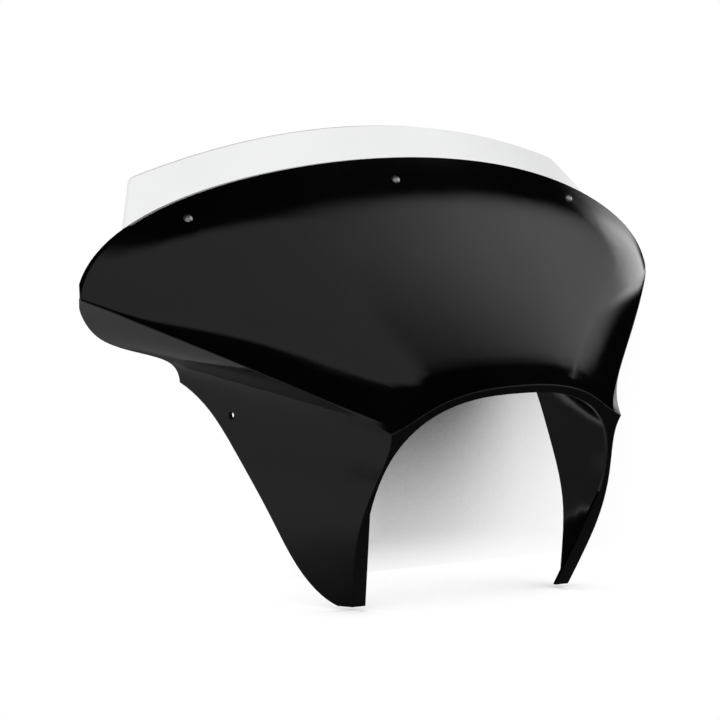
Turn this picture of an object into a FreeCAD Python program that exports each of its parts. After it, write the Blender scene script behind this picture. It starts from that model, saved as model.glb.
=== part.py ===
"""Batwing fairing: a one-piece moulded shell with a short clear screen fixed behind its top edge.

Millimetres. X runs to the right seen from the front, Y runs back to the rider, Z runs up.
The drawing datum is the middle of the headlight arch. The finished parts are moved so that
the origin is the middle of the line through the two mounting holes in the legs.
"""
import FreeCAD, Part
import math
import os

V = FreeCAD.Vector

# Shell wall
WALL = 4.5

# Top outline in front view: half an ellipse standing on the shoulder line
SHOULDER_Z = 130.0
TOP_HALF_WIDTH = 354.0
TOP_RISE = 132.0

# Rear rim: a plane that swings forward round each wingtip to the end of the top outline
REAR_Y = 246.0
TIP_ROUND_X = 50.0
TIP_ROUND_Y = 40.0

# Screen band: the strip along the top edge, bent further back than the main panel
BAND_WIDTH_TIP = 8.0
BAND_WIDTH_CENTRE = 35.0
HINGE_HALF_WIDTH = TOP_HALF_WIDTH - BAND_WIDTH_TIP
HINGE_RISE = TOP_RISE - BAND_WIDTH_CENTRE
BAND_LIFT_CENTRE = 15.0
BAND_LIFT_TIP = 6.0
HINGE_SOFT = 0.35

# Main panel: raked back, easing towards the top, and bowed back towards the wingtips
PANEL_FOOT_Y = -8.0
PANEL_FOOT_Z = 58.0
PANEL_RAKE = 1.20
RAKE_EASING = 0.0013
BOW = 0.76e-3
FOOT_BOW = 5.5e-3
FOOT_BOW_FADE = 44.0
FOOT_BOW_SOFT = 20.0

# Headlight arch: a squarish arch on two legs that taper inwards
ARCH_HALF_WIDTH = 143.0
ARCH_SPRING_Z = -70.0
ARCH_RISE = 113.0
ARCH_POWER = 2.6
ARCH_FOOT_HALF_WIDTH = 119.0
LEG_FOOT_Z = -167.0

# Bezel: the flat forward-facing rim round the arch, leaning forward at its top
BEZEL_WIDTH = 8.0
BEZEL_Y = -5.0
BEZEL_LEAN = 0.42

# Ridge: the crisp line, straight in front view, between the panel and the wing's underside
RIDGE_FOOT_X = 153.0
RIDGE_FOOT_Z = 27.0
RIDGE_TIP_INSET = 20.0
RIDGE_TIP_DROP = 5.0
RIDGE_TIP_X = TOP_HALF_WIDTH - RIDGE_TIP_INSET
RIDGE_TIP_Z = SHOULDER_Z - RIDGE_TIP_DROP

# Cove: the ledge that flares forward from the panel to the ridge and to the bezel
COVE_DEPTH = 20.0
COVE_WIDTH = 32.0
COVE_SPREAD = 1.0
COVE_START = 8.0

# Front surface before it is trimmed: its reach, and where its rows and columns of poles lie
FRONT_OVERHANG = 22.0
FRONT_HALF_WIDTH = TOP_HALF_WIDTH + FRONT_OVERHANG
FRONT_LOW_HALF_WIDTH = 235.0
FRONT_COLUMNS = 29
FRONT_ROWS = (
    [-215.0, -120.0, -60.0, -30.0, -12.0, 2.0, 14.0, 25.0, 35.0, 44.0, 52.0, 60.0, 69.0, 80.0]
    + [94.0, 112.0, 132.0, 154.0, 174.0, 190.0, 203.0, 215.0, 227.0, 240.0, 256.0, 280.0, 312.0]
)

# Cheek: the wing's underside and the leg's outer face are one surface, ruled from front to rear.
# Its front guide follows the ridge, its rear guide the wing's rear edge, in shares of the way out.
RIDGE_SHARES = (1.58, 1.25, 1.0, 0.76, 0.51, 0.26, 0.07)
WING_EDGE_SHARES = (
    (1.68, 1.70), (1.28, 1.33), (1.0, 1.0), (0.75, 0.63), (0.45, 0.46), (0.12, 0.34), (-0.07, 0.14)
)
WING_EDGE_SWEEP = 130.0
WING_EDGE_TIP_INSET = 9.0
WING_EDGE_TIP_DROP = 10.0
WING_EDGE_TIP_X = TOP_HALF_WIDTH - WING_EDGE_TIP_INSET
WING_EDGE_TIP_Z = SHOULDER_Z - WING_EDGE_TIP_DROP
LEG_FRONT_X = 140.0
LEG_FRONT_Y = -20.0
LEG_REAR_X = 220.0
LEG_FOOT_INSET = 44.0
LEG_TOP_INSET = 10.0
LEG_FOOT_POWER = 1.6
LEG_LEVELS = (0.0, -45.0, -90.0, -135.0, -180.0, -225.0)
CHEEK_OVERHANG = 30.0

# Leg's rear edge and heel in side view, in shares of the way from the toe to the notch under the wing
NOTCH_Z = 44.0
TOE_Y = 62.0
HEEL_SHARES = ((0.76, 0.85), (0.60, 0.68), (0.36, 0.37), (0.225, 0.13), (0.15, 0.05))

# Mounting holes through both legs
HOLE_Y = 182.0
HOLE_Z = 16.0
HOLE_D = 6.5

# Screen: clear sheet behind the band
SCREEN_T = 3.0
SCREEN_GAP = 2.0
SCREEN_BEND_PLAY = 0.4
SCREEN_RISE = 30.0
SCREEN_TOP_Z = SHOULDER_Z + TOP_RISE + SCREEN_RISE
SCREEN_TOP_RADIUS = 820.0
SCREEN_END_INSET = 90.0
SCREEN_TOP_HALF_WIDTH = TOP_HALF_WIDTH - SCREEN_END_INSET
SCREEN_SIDE_SLANT = 45.0
SCREEN_CORNER_R = 18.0
SCREEN_REACH = TOP_HALF_WIDTH - RIDGE_TIP_INSET
SCREEN_LAP = 0.15

# Screen fixings: three button-head screws into rubber well nuts with brass inserts
SCREW_D = 5.0
SCREW_LENGTH = 18.0
SCREW_HOLE_D = 6.0
HEAD_D = 9.5
HEAD_H = 2.75
SOCKET_AF = 3.0
SOCKET_DEPTH = 1.6
WELL_NUT_D = 9.5
WELL_NUT_LENGTH = 13.0
WELL_NUT_FLANGE_D = 14.0
FLANGE_PLAY = 0.3
SEAT_PLAY = 0.05
INSERT_D = 7.0
INSERT_LENGTH = 8.0
SCREEN_HOLE_D = 10.0
SCREW_INSET = 116.0
SCREW_SIDE_X = TOP_HALF_WIDTH - SCREW_INSET
SCREW_BAND_SHARE = 0.42

# Overrun of cutting tools past the shell
REACH = 600.0


def panel_y(x, z):
    """Main panel's depth at a front-view point. Its extra bow stops growing below the arch's crown."""
    up = z - PANEL_FOOT_Z
    middle = PANEL_FOOT_Y + PANEL_RAKE * up - RAKE_EASING * up * up
    held_z = (z + math.hypot(z, FOOT_BOW_SOFT)) / 2
    bow = BOW + FOOT_BOW * math.exp(-held_z / FOOT_BOW_FADE)
    return middle + bow * x * x


def bezel_y(z):
    """Bezel plane's depth at a height."""
    return BEZEL_Y - BEZEL_LEAN * z


def ridge_z(x):
    """Height of the ridge line in front view."""
    slope = (RIDGE_TIP_Z - RIDGE_FOOT_Z) / (RIDGE_TIP_X - RIDGE_FOOT_X)
    return RIDGE_FOOT_Z + slope * (abs(x) - RIDGE_FOOT_X)


def flare(depth, width, above):
    """Forward throw of a cove, a parabola that runs on past its edge at the edge's slope."""
    if above >= width:
        return 0.0
    if above >= 0:
        return depth * (1 - above / width) ** 2
    return depth - 2 * depth * above / width


def arch_cove(x, z):
    """Throw of the cove over the arch, which brings the panel forward to the bezel plane."""
    half = ARCH_HALF_WIDTH + BEZEL_WIDTH
    rise = ARCH_RISE + BEZEL_WIDTH
    up = max(z - ARCH_SPRING_Z, 1.0)
    share = ((abs(x) / half) ** ARCH_POWER + (up / rise) ** ARCH_POWER) ** (1 / ARCH_POWER)
    crest_x = x / share
    crest_z = ARCH_SPRING_Z + up / share
    depth = max(panel_y(crest_x, crest_z) - bezel_y(crest_z), COVE_START)
    above = math.hypot(x - crest_x, up - up / share)
    if share < 1:
        above = -above
    return flare(depth, COVE_START + COVE_SPREAD * depth, above)


def ridge_cove(x, z):
    """Throw of the cove along the wing's ridge, fading out at the wingtip."""
    run = RIDGE_TIP_X - RIDGE_FOOT_X
    rise = RIDGE_TIP_Z - RIDGE_FOOT_Z
    above = (z - ridge_z(x)) * run / math.hypot(run, rise)
    out = min(max((abs(x) - RIDGE_FOOT_X) / run, 0.0), 1.0)
    depth = COVE_DEPTH * math.cos(math.pi / 2 * out)
    return flare(depth, COVE_WIDTH, above)


def band_lift(x, z):
    """Extra set-back of the screen band past its hinge line."""
    up = max(z - SHOULDER_Z, 0.0)
    out = math.hypot(x / TOP_HALF_WIDTH, up / TOP_RISE)
    hinge = math.hypot(x / HINGE_HALF_WIDTH, up / HINGE_RISE)
    if hinge <= 0.9:
        return 0.0
    share = (hinge - 1) / (hinge - out)
    side = min(abs(x) / TOP_HALF_WIDTH, 1.0)
    lift = BAND_LIFT_CENTRE + (BAND_LIFT_TIP - BAND_LIFT_CENTRE) * side * side
    return lift * (share + math.hypot(share, HINGE_SOFT)) / 2


def front_y(x, z):
    """Shell's outer front surface: panel, band and coves together."""
    coves = (arch_cove(x, z) ** 3 + ridge_cove(x, z) ** 3) ** (1 / 3)
    return panel_y(x, z) + band_lift(x, z) - coves


def spread(first, last, count):
    """Evenly spaced values."""
    return [first + (last - first) * i / (count - 1) for i in range(count)]


def front_grid(rows):
    """Points of the front surface, on rows that narrow towards the legs."""
    grid = []
    for share in spread(-1, 1, FRONT_COLUMNS):
        column = []
        for z in rows:
            rise = min(max((z - ARCH_SPRING_Z) / (SHOULDER_Z - ARCH_SPRING_Z), 0.0), 1.0)
            ease = rise * rise * (3 - 2 * rise)
            x = share * (FRONT_LOW_HALF_WIDTH + (FRONT_HALF_WIDTH - FRONT_LOW_HALF_WIDTH) * ease)
            column.append(V(x, front_y(x, z), z))
        grid.append(column)
    return grid


def offset_grid(grid, distance):
    """The same points moved along the surface's normal."""
    last_u = len(grid) - 1
    last_v = len(grid[0]) - 1
    moved = []
    for i, column in enumerate(grid):
        points = []
        for j, point in enumerate(column):
            along = grid[min(i + 1, last_u)][j] - grid[max(i - 1, 0)][j]
            up = grid[i][min(j + 1, last_v)] - grid[i][max(j - 1, 0)]
            normal = along.cross(up)
            normal.normalize()
            points.append(point + normal * distance)
        moved.append(points)
    return moved


def knots(count):
    """Degree and even knots of a spline that starts and ends on its end poles, and how often each is used."""
    degree = min(3, count - 1)
    spans = count - degree
    ends = [degree + 1]
    return degree, [float(i) for i in range(spans + 1)], ends + [1] * (spans - 1) + ends


def skin(grid):
    """A smooth face with a grid of points as its poles: cubic, or straight across where it has two."""
    degree_u, knots_u, mults_u = knots(len(grid))
    degree_v, knots_v, mults_v = knots(len(grid[0]))
    surface = Part.BSplineSurface()
    surface.buildFromPolesMultsKnots(
        grid, mults_u, mults_v, knots_u, knots_v, False, False, degree_u, degree_v
    )
    return surface.toShape()


def cheek_grid():
    """Poles of the right cheek, ruled from its front guide to its rear guide."""
    front = []
    for share in RIDGE_SHARES:
        x = RIDGE_FOOT_X + share * (RIDGE_TIP_X - RIDGE_FOOT_X)
        front.append(V(x, front_y(x, ridge_z(x)), ridge_z(x)))
    rear = []
    for out, rise in WING_EDGE_SHARES:
        x = LEG_REAR_X + out * (WING_EDGE_TIP_X - LEG_REAR_X)
        z = NOTCH_Z + rise * (WING_EDGE_TIP_Z - NOTCH_Z)
        rear.append(V(x, REAR_Y + WING_EDGE_SWEEP * max(out - 1, 0.0), z))
    for z in LEG_LEVELS:
        low = max((ARCH_SPRING_Z - z) / (ARCH_SPRING_Z - LEG_FOOT_Z), 0.0)
        high = max((ARCH_SPRING_Z - z) / ARCH_SPRING_Z, 0.0)
        inset = LEG_FOOT_INSET * low ** LEG_FOOT_POWER + LEG_TOP_INSET * high ** LEG_FOOT_POWER
        front.append(V(LEG_FRONT_X - inset, LEG_FRONT_Y, z))
        rear.append(V(LEG_REAR_X, REAR_Y, z))
    grid = []
    for a, b in zip(front, rear):
        along = b - a
        along.normalize()
        grid.append([a - along * CHEEK_OVERHANG, b + along * CHEEK_OVERHANG])
    return grid


def mirrored(shape):
    return shape.mirror(V(0, 0, 0), V(1, 0, 0))


def hull(inset):
    """The space inside the fairing's outer faces, moved in by an inset."""
    body = skin(offset_grid(front_grid(FRONT_ROWS), -inset)).extrude(V(0, 2 * REACH, 0))
    outside = skin(offset_grid(cheek_grid(), -inset)).extrude(V(REACH, 0, 0))
    slab = Part.makeBox(2 * REACH, REACH, 2 * REACH, V(-REACH, inset, -REACH))
    slab.rotate(V(0, 0, 0), V(1, 0, 0), math.degrees(math.atan(BEZEL_LEAN)))
    slab.translate(V(0, BEZEL_Y, 0))
    return body.common(slab).cut(outside).cut(mirrored(outside))


def prism_y(edges):
    """A front-view outline carried right through the shell."""
    face = Part.Face(Part.Wire(Part.__sortEdges__(edges)))
    face.translate(V(0, -REACH / 2, 0))
    return face.extrude(V(0, 1.5 * REACH, 0))


def spline(points):
    curve = Part.BSplineCurve()
    curve.interpolate(points)
    return curve.toShape()


def polyline(points):
    return [Part.makeLine(a, b) for a, b in zip(points, points[1:])]


def outline_prism():
    """The front-view outline: half ellipse on top, square below."""
    ellipse = Part.Ellipse(V(0, 0, 0), TOP_HALF_WIDTH, TOP_RISE)
    arc = Part.Arc(ellipse, 0, math.pi).toShape()
    arc.rotate(V(0, 0, 0), V(1, 0, 0), 90)
    arc.translate(V(0, 0, SHOULDER_Z))
    right = V(TOP_HALF_WIDTH, 0, SHOULDER_Z)
    left = V(-TOP_HALF_WIDTH, 0, SHOULDER_Z)
    foot_right = V(TOP_HALF_WIDTH, 0, LEG_FOOT_Z)
    foot_left = V(-TOP_HALF_WIDTH, 0, LEG_FOOT_Z)
    return prism_y([arc] + polyline([right, foot_right, foot_left, left]))


def arch_prism():
    """The headlight opening."""
    half = []
    for turn in spread(0, math.pi / 2, 9):
        x = ARCH_HALF_WIDTH * math.cos(turn) ** (2 / ARCH_POWER)
        z = ARCH_SPRING_Z + ARCH_RISE * math.sin(turn) ** (2 / ARCH_POWER)
        half.append(V(x, 0, z))
    half[-1] = V(0, 0, ARCH_SPRING_Z + ARCH_RISE)
    arc = spline(half + [V(-p.x, 0, p.z) for p in reversed(half[:-1])])
    drop = 2 * (LEG_FOOT_Z - ARCH_SPRING_Z)
    lean_in = 2 * (ARCH_HALF_WIDTH - ARCH_FOOT_HALF_WIDTH)
    right = V(ARCH_HALF_WIDTH, 0, ARCH_SPRING_Z)
    left = V(-ARCH_HALF_WIDTH, 0, ARCH_SPRING_Z)
    foot_right = right + V(-lean_in, 0, drop)
    foot_left = left + V(lean_in, 0, drop)
    return prism_y([arc] + polyline([right, foot_right, foot_left, left]))


def leg_trim():
    """What is cut away behind the legs: their rear edges and rounded heels in side view."""
    notch = V(0, REAR_Y, NOTCH_Z)
    toe = V(0, TOE_Y, LEG_FOOT_Z - WALL)
    heel = [notch]
    for back, rise in HEEL_SHARES:
        heel.append(V(0, toe.y + back * (notch.y - toe.y), toe.z + rise * (notch.z - toe.z)))
    heel.append(toe)
    below = toe.z - REACH / 2
    rest = polyline([
        toe,
        V(0, toe.y, below),
        V(0, REAR_Y + REACH, below),
        V(0, REAR_Y + REACH, notch.z),
        notch,
    ])
    face = Part.Face(Part.Wire([spline(heel)] + rest))
    face.translate(V(-REACH, 0, 0))
    return face.extrude(V(2 * REACH, 0, 0))


def rear_trim():
    """What is cut away behind the rear rim, seen from above."""
    turn_x = TOP_HALF_WIDTH - TIP_ROUND_X
    turn_y = REAR_Y - TIP_ROUND_Y
    corner = Part.Ellipse(V(0, 0, 0), TIP_ROUND_X, TIP_ROUND_Y)
    right = Part.Arc(corner, 0, math.pi / 2).toShape()
    right.translate(V(turn_x, turn_y, 0))
    left = Part.Arc(corner, math.pi / 2, math.pi).toShape()
    left.translate(V(-turn_x, turn_y, 0))
    rest = polyline([V(turn_x, REAR_Y, 0), V(-turn_x, REAR_Y, 0)])
    rest += polyline([
        V(-TOP_HALF_WIDTH, turn_y, 0),
        V(-REACH, turn_y, 0),
        V(-REACH, REACH, 0),
        V(REACH, REACH, 0),
        V(REACH, turn_y, 0),
        V(TOP_HALF_WIDTH, turn_y, 0),
    ])
    face = Part.Face(Part.Wire(Part.__sortEdges__([right, left] + rest)))
    face.translate(V(0, 0, -REACH))
    return face.extrude(V(0, 0, 2 * REACH))


def screw_places():
    """Point on the band's outer face and inward direction of each screen screw."""
    face = skin(front_grid(FRONT_ROWS))
    places = []
    rim_b = HINGE_RISE + SCREW_BAND_SHARE * (TOP_RISE - HINGE_RISE)
    rim_a = HINGE_HALF_WIDTH + SCREW_BAND_SHARE * (TOP_HALF_WIDTH - HINGE_HALF_WIDTH)
    for x in (-SCREW_SIDE_X, 0.0, SCREW_SIDE_X):
        z = SHOULDER_Z + rim_b * math.sqrt(1 - (x / rim_a) ** 2)
        sight = Part.makeLine(V(x, -REACH, z), V(x, REACH, z))
        point = face.distToShape(sight)[1][0][0]
        u, v = face.Surface.parameter(point)
        inward = face.normalAt(u, v)
        if inward.y < 0:
            inward = -inward
        places.append((point, inward))
    return places


def rod(place, start, length, diameter):
    """A cylinder along a screw's axis, measured inwards from the shell's outer face."""
    point, inward = place
    return Part.makeCylinder(diameter / 2, length, point + inward * start, inward)


def fairing_shell():
    solid = hull(0.0).common(outline_prism())
    cuts = [hull(WALL), arch_prism(), leg_trim(), rear_trim()]
    bore = Part.makeCylinder(HOLE_D / 2, 2 * REACH, V(-REACH, HOLE_Y, HOLE_Z), V(1, 0, 0))
    cuts.append(bore)
    cuts += [rod(place, -HEAD_D, 4 * HEAD_D, SCREW_HOLE_D) for place in SCREWS]
    return solid.cut(cuts).Solids[0]


def screen_grid():
    """Poles of the band carried straight on upwards, as a sheet bent one way only."""
    grid = []
    for share in spread(-1, 1, FRONT_COLUMNS):
        x = share * SCREEN_REACH
        hinge_z = SHOULDER_Z + HINGE_RISE * math.sqrt(1 - (x / HINGE_HALF_WIDTH) ** 2)
        edge_z = SHOULDER_Z + TOP_RISE * math.sqrt(1 - (x / TOP_HALF_WIDTH) ** 2)
        low = V(x, front_y(x, hinge_z), hinge_z)
        slope = V(x, front_y(x, edge_z), edge_z) - low
        high = low + slope * ((SCREEN_TOP_Z + SCREEN_RISE - hinge_z) / slope.z)
        grid.append([low - slope, high])
    return grid


def windscreen():
    """Clear sheet parallel to the band, standing up behind the top edge."""
    near = WALL + SCREEN_GAP + SCREEN_BEND_PLAY
    body = skin(offset_grid(screen_grid(), -near)).extrude(V(0, REACH, 0))
    behind = skin(offset_grid(screen_grid(), -near - SCREEN_T)).extrude(V(0, REACH, 0))
    low_a = HINGE_HALF_WIDTH + SCREEN_LAP * BAND_WIDTH_TIP
    low_b = HINGE_RISE + SCREEN_LAP * BAND_WIDTH_CENTRE
    half = SCREEN_TOP_HALF_WIDTH
    end_x = half + SCREEN_SIDE_SLANT
    corner_z = SCREEN_TOP_Z - SCREEN_TOP_RADIUS + math.sqrt(SCREEN_TOP_RADIUS ** 2 - half ** 2)
    top = Part.Arc(V(-half, 0, corner_z), V(0, 0, SCREEN_TOP_Z), V(half, 0, corner_z)).toShape()
    foot = []
    for x in spread(-end_x, end_x, 13):
        foot.append(V(x, 0, SHOULDER_Z + low_b * math.sqrt(1 - (x / low_a) ** 2)))
    right = Part.makeLine(V(half, 0, corner_z), foot[-1])
    left = Part.makeLine(V(-half, 0, corner_z), foot[0])
    outline = prism_y([top, right, spline(foot), left])
    along = [e for e in outline.Edges if e.BoundBox.XLength < 1 and e.BoundBox.ZLength < 1]
    upper = [e for e in along if abs(e.CenterOfMass.z - corner_z) < 1]
    sheet = body.cut(behind).common(outline.makeFillet(SCREEN_CORNER_R, upper))
    return sheet.cut([rod(place, 0, 6 * WALL, SCREEN_HOLE_D) for place in SCREWS]).Solids[0]


def ring(place, start, length, outer, inner):
    return rod(place, start, length, outer).cut(rod(place, start - 1, length + 2, inner))


def screen_screw(place):
    """Button-head screw: domed head on the shell's face, hex socket, plain shank."""
    point, inward = place
    dome_r = (HEAD_D ** 2 / 4 + HEAD_H ** 2) / (2 * HEAD_H)
    crown = HEAD_H + SEAT_PLAY
    ball = Part.makeSphere(dome_r, point + inward * (dome_r - crown))
    head = ball.common(rod(place, -crown, HEAD_H, HEAD_D))
    shank = rod(place, -SEAT_PLAY, SCREW_LENGTH, SCREW_D)
    across = V(1, 0, 0) - inward * inward.x
    across.normalize()
    other = inward.cross(across)
    corner_r = SOCKET_AF / math.sqrt(3)
    top = point - inward * (crown + 1)
    corners = []
    for i in range(7):
        turn = math.radians(60 * i)
        corners.append(top + across * (corner_r * math.cos(turn)) + other * (corner_r * math.sin(turn)))
    socket = Part.Face(Part.makePolygon(corners)).extrude(inward * (SOCKET_DEPTH + 1))
    return head.fuse(shank).removeSplitter().cut(socket)


def well_nut(place):
    """Rubber nut: a flange between shell and screen, and a body through the screen."""
    start = WALL + FLANGE_PLAY
    flange = rod(place, start, SCREEN_GAP - FLANGE_PLAY - SEAT_PLAY, WELL_NUT_FLANGE_D)
    body = rod(place, start, SCREEN_GAP - FLANGE_PLAY + WELL_NUT_LENGTH, WELL_NUT_D)
    return flange.fuse(body).cut(rod(place, 0, 2 * SCREW_LENGTH, INSERT_D))


def insert_start():
    """Depth of the insert's inner end below the shell's outer face."""
    return WALL + SCREEN_GAP + WELL_NUT_LENGTH - INSERT_LENGTH


def well_nut_insert(place):
    return ring(place, insert_start(), INSERT_LENGTH, INSERT_D, SCREW_D)


def group(make):
    return Part.makeCompound([make(place) for place in SCREWS])


def export(name, shape):
    shape.translate(V(0, -HOLE_Y, -HOLE_Z))
    shape.exportStep("parts/" + name + ".step")


SCREWS = screw_places()
os.makedirs("parts", exist_ok=True)
export("fairing_shell", fairing_shell())
export("windscreen", windscreen())
export("screen_screws", group(screen_screw))
export("well_nuts", group(well_nut))
export("well_nut_inserts", group(well_nut_insert))
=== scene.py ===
import math

import bpy
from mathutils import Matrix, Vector


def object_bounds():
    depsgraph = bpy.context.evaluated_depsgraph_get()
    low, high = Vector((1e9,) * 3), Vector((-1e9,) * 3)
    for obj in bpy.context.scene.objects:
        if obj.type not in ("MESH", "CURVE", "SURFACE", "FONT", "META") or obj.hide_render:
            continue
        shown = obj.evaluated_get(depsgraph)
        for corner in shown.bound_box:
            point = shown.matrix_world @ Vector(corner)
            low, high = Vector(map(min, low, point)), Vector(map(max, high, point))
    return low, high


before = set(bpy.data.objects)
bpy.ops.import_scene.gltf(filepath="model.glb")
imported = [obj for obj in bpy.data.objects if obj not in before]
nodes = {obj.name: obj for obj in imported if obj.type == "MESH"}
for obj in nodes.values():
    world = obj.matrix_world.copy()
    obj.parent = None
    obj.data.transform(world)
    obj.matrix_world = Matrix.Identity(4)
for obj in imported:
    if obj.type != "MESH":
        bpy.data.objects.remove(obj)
cad_low, cad_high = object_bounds()
bpy.ops.object.select_all(action="DESELECT")


# Fairing shell: one moulding in deep black plastic, 4.5 mm thick, open at the rear.
# It comes out of a polished mould, so its gloss is even, with a faint moulded waviness,
# and its edges are eased by hand after trimming. Two holes in the legs take its brackets.
CLOUD_LOW, CLOUD_HIGH = 0.35, 0.65  # most of the noise lies between these
COVE_FOOT = (0.153, 0.011)  # x and z of the ridge over the leg
COVE_TIP = (0.334, 0.109)  # x and z of the ridge at the wingtip
COVE_LEAST = 0.002  # height over the ridge at which the ledge starts to bend, past the wingtip
COVE_REACH = 0.05  # how much higher it starts by the leg
COVE_GONE, COVE_FULL = 1.2, 0.1  # where it is down to the least and where at its most, in ridge runs
COVE_SLOPE = 0.95  # steepest bend of the ledge, at the ridge
COVE_FACING = 0.15  # only faces that look up by more than this bend
HINGE_SIZE = (0.346, 0.097)  # half axes of the oval along which the band bends
HINGE_Z = 0.114  # height of that oval's middle
BAND_REACH = 0.008  # how softly the band bends
BAND_SLOPE = 0.16  # how far the band leans back
EDGE_EASE = 0.0022  # radius of the trimmed edges

moulding_grain = bpy.data.node_groups.new("moulding_grain", "ShaderNodeTree")
grain_face = moulding_grain.interface
grain_face.new_socket("Scale", in_out="INPUT", socket_type="NodeSocketFloat")
grain_face.new_socket("Fine Scale", in_out="INPUT", socket_type="NodeSocketFloat")
grain_face.new_socket("Cloud", in_out="OUTPUT", socket_type="NodeSocketFloat")
grain_face.new_socket("Speck", in_out="OUTPUT", socket_type="NodeSocketFloat")
grain_in = moulding_grain.nodes.new("NodeGroupInput")
grain_out = moulding_grain.nodes.new("NodeGroupOutput")
grain_place = moulding_grain.nodes.new("ShaderNodeTexCoord")
for grain_scale, grain_name, grain_detail in (("Scale", "Cloud", 3.0), ("Fine Scale", "Speck", 1.0)):
    grain_noise = moulding_grain.nodes.new("ShaderNodeTexNoise")
    grain_noise.inputs["Detail"].default_value = grain_detail
    moulding_grain.links.new(grain_place.outputs["Object"], grain_noise.inputs["Vector"])
    moulding_grain.links.new(grain_in.outputs[grain_scale], grain_noise.inputs["Scale"])
    moulding_grain.links.new(grain_noise.outputs["Fac"], grain_out.inputs[grain_name])


def grained(name, cloud, speck, dark, pale, smooth, rough, bump_height, plain):
    """A finish whose colour and gloss drift over the piece, with a fine grain under the light."""
    finish = bpy.data.materials.new(name)
    finish.use_nodes = True
    tree = finish.node_tree
    shader = tree.nodes["Principled BSDF"]
    for socket, value in plain.items():
        shader.inputs[socket].default_value = value
    grain = tree.nodes.new("ShaderNodeGroup")
    grain.node_tree = moulding_grain
    grain.inputs["Scale"].default_value = cloud
    grain.inputs["Fine Scale"].default_value = speck
    tint = tree.nodes.new("ShaderNodeValToRGB")
    tint.color_ramp.elements[0].position = CLOUD_LOW
    tint.color_ramp.elements[0].color = (*dark, 1)
    tint.color_ramp.elements[1].position = CLOUD_HIGH
    tint.color_ramp.elements[1].color = (*pale, 1)
    tree.links.new(grain.outputs["Cloud"], tint.inputs["Fac"])
    tree.links.new(tint.outputs["Color"], shader.inputs["Base Color"])
    gloss = tree.nodes.new("ShaderNodeMapRange")
    gloss.inputs["From Min"].default_value = CLOUD_LOW
    gloss.inputs["From Max"].default_value = CLOUD_HIGH
    gloss.inputs["To Min"].default_value = smooth
    gloss.inputs["To Max"].default_value = rough
    tree.links.new(grain.outputs["Cloud"], gloss.inputs["Value"])
    tree.links.new(gloss.outputs["Result"], shader.inputs["Roughness"])
    relief = tree.nodes.new("ShaderNodeBump")
    relief.name = "grain_relief"
    relief.inputs["Strength"].default_value = 1.0
    relief.inputs["Distance"].default_value = bump_height
    tree.links.new(grain.outputs["Speck"], relief.inputs["Height"])
    tree.links.new(relief.outputs["Normal"], shader.inputs["Normal"])
    return finish


def dress(piece, finish):
    """One of the solids gets its finish in place of the frame's own."""
    piece.data.materials.clear()
    piece.data.materials.append(finish)


def axes_of(tree, place_kind):
    """X, Y and Z of the place, or for the studio the direction, that is shaded."""
    place = tree.nodes.new("ShaderNodeTexCoord")
    axes = tree.nodes.new("ShaderNodeSeparateXYZ")
    tree.links.new(place.outputs[place_kind], axes.inputs["Vector"])
    return axes.outputs


def fill(tree, socket, value):
    """A socket takes a plain number, or what another socket puts out."""
    if isinstance(value, float):
        socket.default_value = value
    else:
        tree.links.new(value, socket)


def sum_step(tree, kind, first, second=0.0, third=0.0):
    """One step of a sum, on plain numbers and on what sockets put out."""
    step = tree.nodes.new("ShaderNodeMath")
    step.operation = kind
    for socket, value in zip(step.inputs, (first, second, third)):
        fill(tree, socket, value)
    return step.outputs["Value"]


def soft_step(tree, value, start, stop, before=0.0, after=1.0):
    """Softly from one level to another, between the values that start and end the change."""
    step = tree.nodes.new("ShaderNodeMapRange")
    step.interpolation_type = "SMOOTHSTEP"
    step.inputs["From Min"].default_value = start
    step.inputs["From Max"].default_value = stop
    fill(tree, step.inputs["To Min"], before)
    fill(tree, step.inputs["To Max"], after)
    tree.links.new(value, step.inputs["Value"])
    return step.outputs["Result"]


polished_black = grained(
    "polished_black", cloud=9.0, speck=240.0,
    dark=(0.0004, 0.0004, 0.0005), pale=(0.001, 0.001, 0.0011),
    smooth=0.09, rough=0.13, bump_height=0.000003, plain={"IOR": 1.5},
)
black_tree = polished_black.node_tree
black_axes = axes_of(black_tree, "Object")
black_side = black_tree.nodes.new("ShaderNodeNewGeometry")
black_facing = black_tree.nodes.new("ShaderNodeSeparateXYZ")
black_tree.links.new(black_side.outputs["True Normal"], black_facing.inputs["Vector"])

# The ledge over the ridge bends forward to it, most by the legs and least at the wingtips.
cove_run = COVE_TIP[0] - COVE_FOOT[0]
cove_rise = COVE_TIP[1] - COVE_FOOT[1]
cove_length = math.hypot(cove_run, cove_rise)
cove_out = sum_step(black_tree, "ABSOLUTE", black_axes["X"])
cove_out = sum_step(black_tree, "SUBTRACT", cove_out, COVE_FOOT[0])
cove_above = sum_step(black_tree, "SUBTRACT", black_axes["Z"], COVE_FOOT[1])
cove_above = sum_step(black_tree, "MULTIPLY", cove_above, cove_run / cove_length)
cove_above = sum_step(black_tree, "MULTIPLY_ADD", cove_out, -cove_rise / cove_length, cove_above)
cove_above = sum_step(black_tree, "MAXIMUM", cove_above, 0.0)
cove_wide = soft_step(black_tree, cove_out, COVE_GONE * cove_run, COVE_FULL * cove_run)
cove_wide = sum_step(black_tree, "MULTIPLY_ADD", cove_wide, COVE_REACH, COVE_LEAST)
cove_share = sum_step(black_tree, "DIVIDE", cove_above, cove_wide)
cove_share = sum_step(black_tree, "MINIMUM", cove_share, 1.0)
cove_rest = sum_step(black_tree, "SUBTRACT", 1.0, cove_share)
cove_form = sum_step(black_tree, "MULTIPLY", cove_rest, cove_rest)
cove_form = sum_step(black_tree, "MULTIPLY", cove_form, cove_wide)
cove_faces = sum_step(black_tree, "GREATER_THAN", black_facing.outputs["Z"], COVE_FACING)
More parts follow.
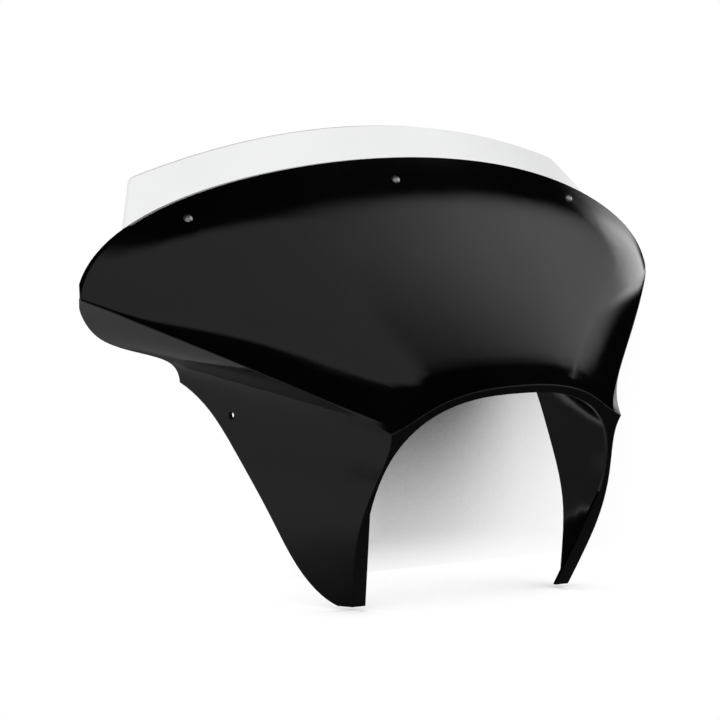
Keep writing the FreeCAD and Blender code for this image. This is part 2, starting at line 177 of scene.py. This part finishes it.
cove_form = sum_step(black_tree, "MULTIPLY", cove_form, cove_faces)
cove_form = sum_step(black_tree, "MULTIPLY", cove_form, -COVE_SLOPE / 2)

# The band along the top edge leans back behind a crisp bend.
band_x = sum_step(black_tree, "DIVIDE", black_axes["X"], HINGE_SIZE[0])
band_z = sum_step(black_tree, "SUBTRACT", black_axes["Z"], HINGE_Z)
band_z = sum_step(black_tree, "MAXIMUM", band_z, 0.0)
band_z = sum_step(black_tree, "DIVIDE", band_z, HINGE_SIZE[1])
band_out = sum_step(black_tree, "MULTIPLY", band_z, band_z)
band_out = sum_step(black_tree, "MULTIPLY_ADD", band_x, band_x, band_out)
band_out = sum_step(black_tree, "SQRT", band_out)
band_past = sum_step(black_tree, "SUBTRACT", band_out, 1.0)
band_past = sum_step(black_tree, "MULTIPLY", band_past, HINGE_SIZE[1])
band_soft = sum_step(black_tree, "MULTIPLY_ADD", band_past, band_past, BAND_REACH ** 2)
band_soft = sum_step(black_tree, "SQRT", band_soft)
band_form = sum_step(black_tree, "ADD", band_past, band_soft)
band_form = sum_step(black_tree, "MULTIPLY", band_form, BAND_SLOPE / 2)

# The edges are eased, then the ledge and the band are laid over them, and the grain comes last.
black_ease = black_tree.nodes.new("ShaderNodeBevel")
black_ease.samples = 6
black_ease.inputs["Radius"].default_value = EDGE_EASE
mould_relief = black_tree.nodes.new("ShaderNodeBump")
mould_relief.invert = True
mould_relief.inputs["Strength"].default_value = 1.0
mould_relief.inputs["Distance"].default_value = 1.0
black_tree.links.new(sum_step(black_tree, "ADD", cove_form, band_form), mould_relief.inputs["Height"])
black_tree.links.new(black_ease.outputs["Normal"], mould_relief.inputs["Normal"])
black_tree.links.new(mould_relief.outputs["Normal"], black_tree.nodes["grain_relief"].inputs["Normal"])
dress(nodes["fairing_shell"], polished_black)


# Windscreen: a short sheet of clear acrylic, cut to outline and bent one way to follow the band.
# It stands up behind the shell's top edge and is held there by the three screws.
clear_acrylic = grained(
    "clear_acrylic", cloud=6.0, speck=90.0,
    dark=(0.89, 0.895, 0.895), pale=(0.93, 0.935, 0.935),
    smooth=0.02, rough=0.05, bump_height=0.000002, plain={"IOR": 1.49, "Transmission Weight": 1.0},
)
screen = nodes["windscreen"]
dress(screen, clear_acrylic)
screen.visible_shadow = False


# Screen screws: three button heads with hex sockets, turned in steel and left bright.
# Each goes through the band and the screen into the insert of its rubber nut.
turned_steel = grained(
    "turned_steel", cloud=300.0, speck=2500.0,
    dark=(0.36, 0.36, 0.37), pale=(0.5, 0.5, 0.51),
    smooth=0.24, rough=0.36, bump_height=0.00001, plain={"Metallic": 1.0},
)
dress(nodes["screen_screws"], turned_steel)


# Well nuts: three moulded rubber sleeves with a flange, pressed through the screen's holes.
# They grip the screen from behind and keep it off the shell.
nut_rubber = grained(
    "nut_rubber", cloud=180.0, speck=1600.0,
    dark=(0.012, 0.012, 0.012), pale=(0.026, 0.026, 0.027),
    smooth=0.6, rough=0.78, bump_height=0.00004, plain={"Metallic": 0.0},
)
dress(nodes["well_nuts"], nut_rubber)


# Well nut inserts: three bushes turned in brass, which take the screws.
# The rubber of the nuts is moulded round them, so they can't turn in it.
insert_brass = grained(
    "insert_brass", cloud=220.0, speck=2200.0,
    dark=(0.56, 0.38, 0.15), pale=(0.72, 0.52, 0.24),
    smooth=0.26, rough=0.4, bump_height=0.00001, plain={"Metallic": 1.0},
)
dress(nodes["well_nut_inserts"], insert_brass)


# Floor: a plain white sheet just under the legs. The eye sees it white where it lies open and painted grey
# where the fairing closes it in, so it keeps the fairing's soft shadow as painted shade, not cast by a lamp.
# Gloss surfaces see it dimmer, with painted light and shade for the lit and unlit parts of a studio:
# palest to the left, mid-grey close behind the fairing, darkest in front and far behind.
STAGE_SIZE = 60.0
STAGE_GAP = 0.004  # between the sheets and the fairing's box
SHADE_REACH = 0.6  # how far the sheets look for what closes them in
FLOOR_SHUT, FLOOR_OPEN = 0.0, 0.6  # shares of open sky that show black and white
FLOOR_PAINTED_LIGHT_LEFT = 0.4
FLOOR_PAINTED_LIGHT_FRONT = 0.05
FLOOR_PAINTED_LIGHT_NEAR = 0.22
FLOOR_PAINTED_LIGHT_FAR = 0.05
FLOOR_FRONT_TO_NEAR_Y = (-0.3, 0.1)
FLOOR_NEAR_TO_FAR_Y = (0.35, 0.7)
FLOOR_LEFT_TO_RIGHT_X = (-0.4, -0.1)


def stage_paper(name, shut, clear):
    """White paper: the eye sees it with painted shade by how closed in it is, and gloss surfaces see its
    matt tone.
    """
    paper = bpy.data.materials.new(name)
    paper.use_nodes = True
    tree = paper.node_tree
    tree.nodes.remove(tree.nodes["Principled BSDF"])
    matt = tree.nodes.new("ShaderNodeBsdfDiffuse")
    matt.name = "matt"
    lie_open = tree.nodes.new("ShaderNodeAmbientOcclusion")
    lie_open.samples = 24
    lie_open.inputs["Distance"].default_value = SHADE_REACH
    shade = tree.nodes.new("ShaderNodeMapRange")
    shade.name = "shade"
    shade.inputs["From Min"].default_value = shut
    shade.inputs["From Max"].default_value = clear
    # Painted shade: the white the sheet gives off is dimmed by how closed in it is, not by light falling on
    # it.
    tree.links.new(lie_open.outputs["AO"], shade.inputs["Value"])
    white = tree.nodes.new("ShaderNodeEmission")
    tree.links.new(shade.outputs["Result"], white.inputs["Strength"])
    rays = tree.nodes.new("ShaderNodeLightPath")
    eye_rays = sum_step(tree, "MAXIMUM", rays.outputs["Is Camera Ray"], rays.outputs["Is Transmission Ray"])
    sheet = tree.nodes.new("ShaderNodeMixShader")
    sheet.name = "sheet"
    tree.links.new(eye_rays, sheet.inputs["Fac"])
    tree.links.new(matt.outputs["BSDF"], sheet.inputs[1])
    tree.links.new(white.outputs["Emission"], sheet.inputs[2])
    tree.links.new(sheet.outputs["Shader"], tree.nodes["Material Output"].inputs["Surface"])
    return paper


def stage_sheet(name, place, turn, paper):
    """A flat sheet of paper that casts no shadow and sends no light to matt surfaces."""
    bpy.ops.mesh.primitive_plane_add(size=STAGE_SIZE, location=place, rotation=turn)
    bpy.ops.object.transform_apply(location=True, rotation=True, scale=True)
    sheet = bpy.context.object
    sheet.name = name
    sheet.data.materials.append(paper)
    sheet.visible_diffuse = False
    sheet.visible_shadow = False
    return sheet


floor_white = stage_paper("floor_white", FLOOR_SHUT, FLOOR_OPEN)
floor_tree = floor_white.node_tree
floor_axes = axes_of(floor_tree, "Object")
# Painted light and shade that only gloss surfaces see: the floor's tone set zone by zone.
floor_painted_light = soft_step(
    floor_tree, floor_axes["Y"], *FLOOR_FRONT_TO_NEAR_Y, before=FLOOR_PAINTED_LIGHT_FRONT, after=FLOOR_PAINTED_LIGHT_NEAR
)
floor_painted_light = soft_step(
    floor_tree, floor_axes["Y"], *FLOOR_NEAR_TO_FAR_Y, before=floor_painted_light, after=FLOOR_PAINTED_LIGHT_FAR
)
floor_painted_light = soft_step(
    floor_tree, floor_axes["X"], *FLOOR_LEFT_TO_RIGHT_X, before=FLOOR_PAINTED_LIGHT_LEFT, after=floor_painted_light
)
floor_tree.links.new(floor_painted_light, floor_tree.nodes["matt"].inputs["Color"])
floor = stage_sheet("floor", (0, 0, cad_low[2] - STAGE_GAP), (0, 0, 0), floor_white)


# Backdrop: a plain white sheet close behind the fairing, seen from its front face only.
# It has painted grey where the fairing closes it in, as the floor does, but only in and beside the arch:
# the painted grey is faded out to the left, right, top and foot, and where the sheet is seen at a slant.
BACKDROP_SHUT, BACKDROP_OPEN = 0.4, 0.94
BACKDROP_PALE = 0.97
BACKDROP_FADE_LEFT = (0.06, -0.08)  # each fade runs from where it leaves the grey to where all is white
BACKDROP_FADE_RIGHT = (0.2, 0.42)
BACKDROP_FADE_TOP = (-0.02, 0.1)
BACKDROP_FADE_FOOT = (-0.145, -0.205)
BACKDROP_FADE_SLANT = (0.5, 0.85)
backdrop_white = stage_paper("backdrop_white", BACKDROP_SHUT, BACKDROP_OPEN)
backdrop_tree = backdrop_white.node_tree
backdrop_tree.nodes["matt"].inputs["Color"].default_value = (BACKDROP_PALE, BACKDROP_PALE, BACKDROP_PALE, 1)
backdrop_axes = axes_of(backdrop_tree, "Object")
backdrop_angle = backdrop_tree.nodes.new("ShaderNodeLayerWeight")
backdrop_least = 0.0
# Painted shade kept in place by position and by the slant it is seen at: each fade lifts the grey to white.
for backdrop_way, (grey_at, white_at) in (
    (backdrop_axes["X"], BACKDROP_FADE_LEFT),
    (backdrop_axes["X"], BACKDROP_FADE_RIGHT),
    (backdrop_axes["Z"], BACKDROP_FADE_TOP),
    (backdrop_axes["Z"], BACKDROP_FADE_FOOT),
    (backdrop_angle.outputs["Facing"], BACKDROP_FADE_SLANT),
):
    backdrop_fade = soft_step(backdrop_tree, backdrop_way, grey_at, white_at)
    backdrop_least = sum_step(backdrop_tree, "MAXIMUM", backdrop_fade, backdrop_least)
backdrop_tree.links.new(backdrop_least, backdrop_tree.nodes["shade"].inputs["To Min"])
backdrop_side = backdrop_tree.nodes.new("ShaderNodeNewGeometry")
backdrop_clear = backdrop_tree.nodes.new("ShaderNodeBsdfTransparent")
backdrop_face = backdrop_tree.nodes.new("ShaderNodeMixShader")
backdrop_end = backdrop_tree.nodes["Material Output"]
backdrop_tree.links.new(backdrop_side.outputs["Backfacing"], backdrop_face.inputs["Fac"])
backdrop_tree.links.new(backdrop_tree.nodes["sheet"].outputs["Shader"], backdrop_face.inputs[1])
backdrop_tree.links.new(backdrop_clear.outputs["BSDF"], backdrop_face.inputs[2])
backdrop_tree.links.new(backdrop_face.outputs["Shader"], backdrop_end.inputs["Surface"])
backdrop = stage_sheet("backdrop", (0, cad_high[1] + STAGE_GAP, 0), (math.pi / 2, 0, 0), backdrop_white)
backdrop.visible_glossy = False


# Studio: white all round for the eye and for matt surfaces. Gloss surfaces see what hangs there:
# a broad soft box overhead in front, brighter to the right, and a bright wall low on the right,
# in an otherwise dark room.
BOX_LEAN = 0.7  # how far the box's rear edge runs back as it goes right
BOX_SIDE = (0.28, 0.62)  # soft edges run from dark to lit, measured on a direction one unit long
BOX_FRONT_Y = (-0.14, -0.28)
BOX_LEVELS = ((0.0, 0.44), (0.3, 0.43), (0.5, 0.6), (0.7, 0.88), (0.85, 0.93), (0.95, 0.76), (1.0, 0.9))
WALL_X = (0.8, 0.9)
WALL_Y = (0.13, 0.24)
WALL_Z = (0.46, 0.3)
WALL_LEVEL = 1.8
ROOM_LEVEL = 0.002
STUDIO_WHITE = 1.0
studio = bpy.data.worlds.new("studio")
bpy.context.scene.world = studio
studio.use_nodes = True
studio_tree = studio.node_tree
studio_axes = axes_of(studio_tree, "Generated")
box_level = studio_tree.nodes.new("ShaderNodeValToRGB")
box_stops = box_level.color_ramp.elements
for stop, (place, level) in enumerate(BOX_LEVELS):
    if stop >= len(box_stops):
        box_stops.new(place)
    box_stops[stop].position = place
    box_stops[stop].color = (level, level, level, 1)
studio_tree.links.new(studio_axes["X"], box_level.inputs["Fac"])
box_side = sum_step(studio_tree, "MULTIPLY", studio_axes["X"], BOX_LEAN)
box_side = sum_step(studio_tree, "SUBTRACT", box_side, studio_axes["Y"])
box_side = soft_step(studio_tree, box_side, *BOX_SIDE)
box_front = soft_step(studio_tree, studio_axes["Y"], *BOX_FRONT_Y)
overhead_box = sum_step(studio_tree, "MAXIMUM", box_side, box_front)
overhead_box = sum_step(studio_tree, "MULTIPLY", overhead_box, box_level.outputs["Color"])
right_wall = WALL_LEVEL
for wall_axis, wall_ends in (("X", WALL_X), ("Y", WALL_Y), ("Z", WALL_Z)):
    wall_share = soft_step(studio_tree, studio_axes[wall_axis], *wall_ends)
    right_wall = sum_step(studio_tree, "MULTIPLY", wall_share, right_wall)
studio_gloss = sum_step(studio_tree, "MAXIMUM", overhead_box, right_wall)
studio_gloss = sum_step(studio_tree, "ADD", studio_gloss, ROOM_LEVEL)
studio_rays = studio_tree.nodes.new("ShaderNodeLightPath")
studio_mirrored = sum_step(
    studio_tree, "SUBTRACT", studio_rays.outputs["Is Glossy Ray"], studio_rays.outputs["Is Transmission Ray"]
)
studio_level = studio_tree.nodes.new("ShaderNodeMix")
studio_level.data_type = "FLOAT"
studio_level.inputs["A"].default_value = STUDIO_WHITE
studio_tree.links.new(studio_mirrored, studio_level.inputs["Factor"])
studio_tree.links.new(studio_gloss, studio_level.inputs["B"])
studio_light = studio_tree.nodes["Background"]
studio_light.inputs["Color"].default_value = (1, 1, 1, 1)
studio_tree.links.new(studio_level.outputs["Result"], studio_light.inputs["Strength"])


# Camera: in front of the fairing, to its left as seen and just above its middle,
# with a long lens that takes in a field 0.72 m wide at the fairing.
AZIMUTH = math.radians(-36)
ELEVATION = math.radians(6)
DISTANCE = 5.0
FIELD_WIDTH = 0.72
SENSOR_WIDTH = 36.0
AIM = Vector((-0.05559, -0.02047, 0.04768))
sight_back = Vector((
    math.sin(AZIMUTH) * math.cos(ELEVATION),
    -math.cos(AZIMUTH) * math.cos(ELEVATION),
    math.sin(ELEVATION),
))
eye = bpy.data.cameras.new("camera")
eye.sensor_width = SENSOR_WIDTH
eye.lens = SENSOR_WIDTH * DISTANCE / FIELD_WIDTH
camera = bpy.data.objects.new("camera", eye)
bpy.context.scene.collection.objects.link(camera)
camera.location = AIM + sight_back * DISTANCE
camera.rotation_euler = (-sight_back).to_track_quat("-Z", "Y").to_euler()
bpy.context.scene.camera = camera
bpy.context.scene.view_settings.view_transform = "Standard"
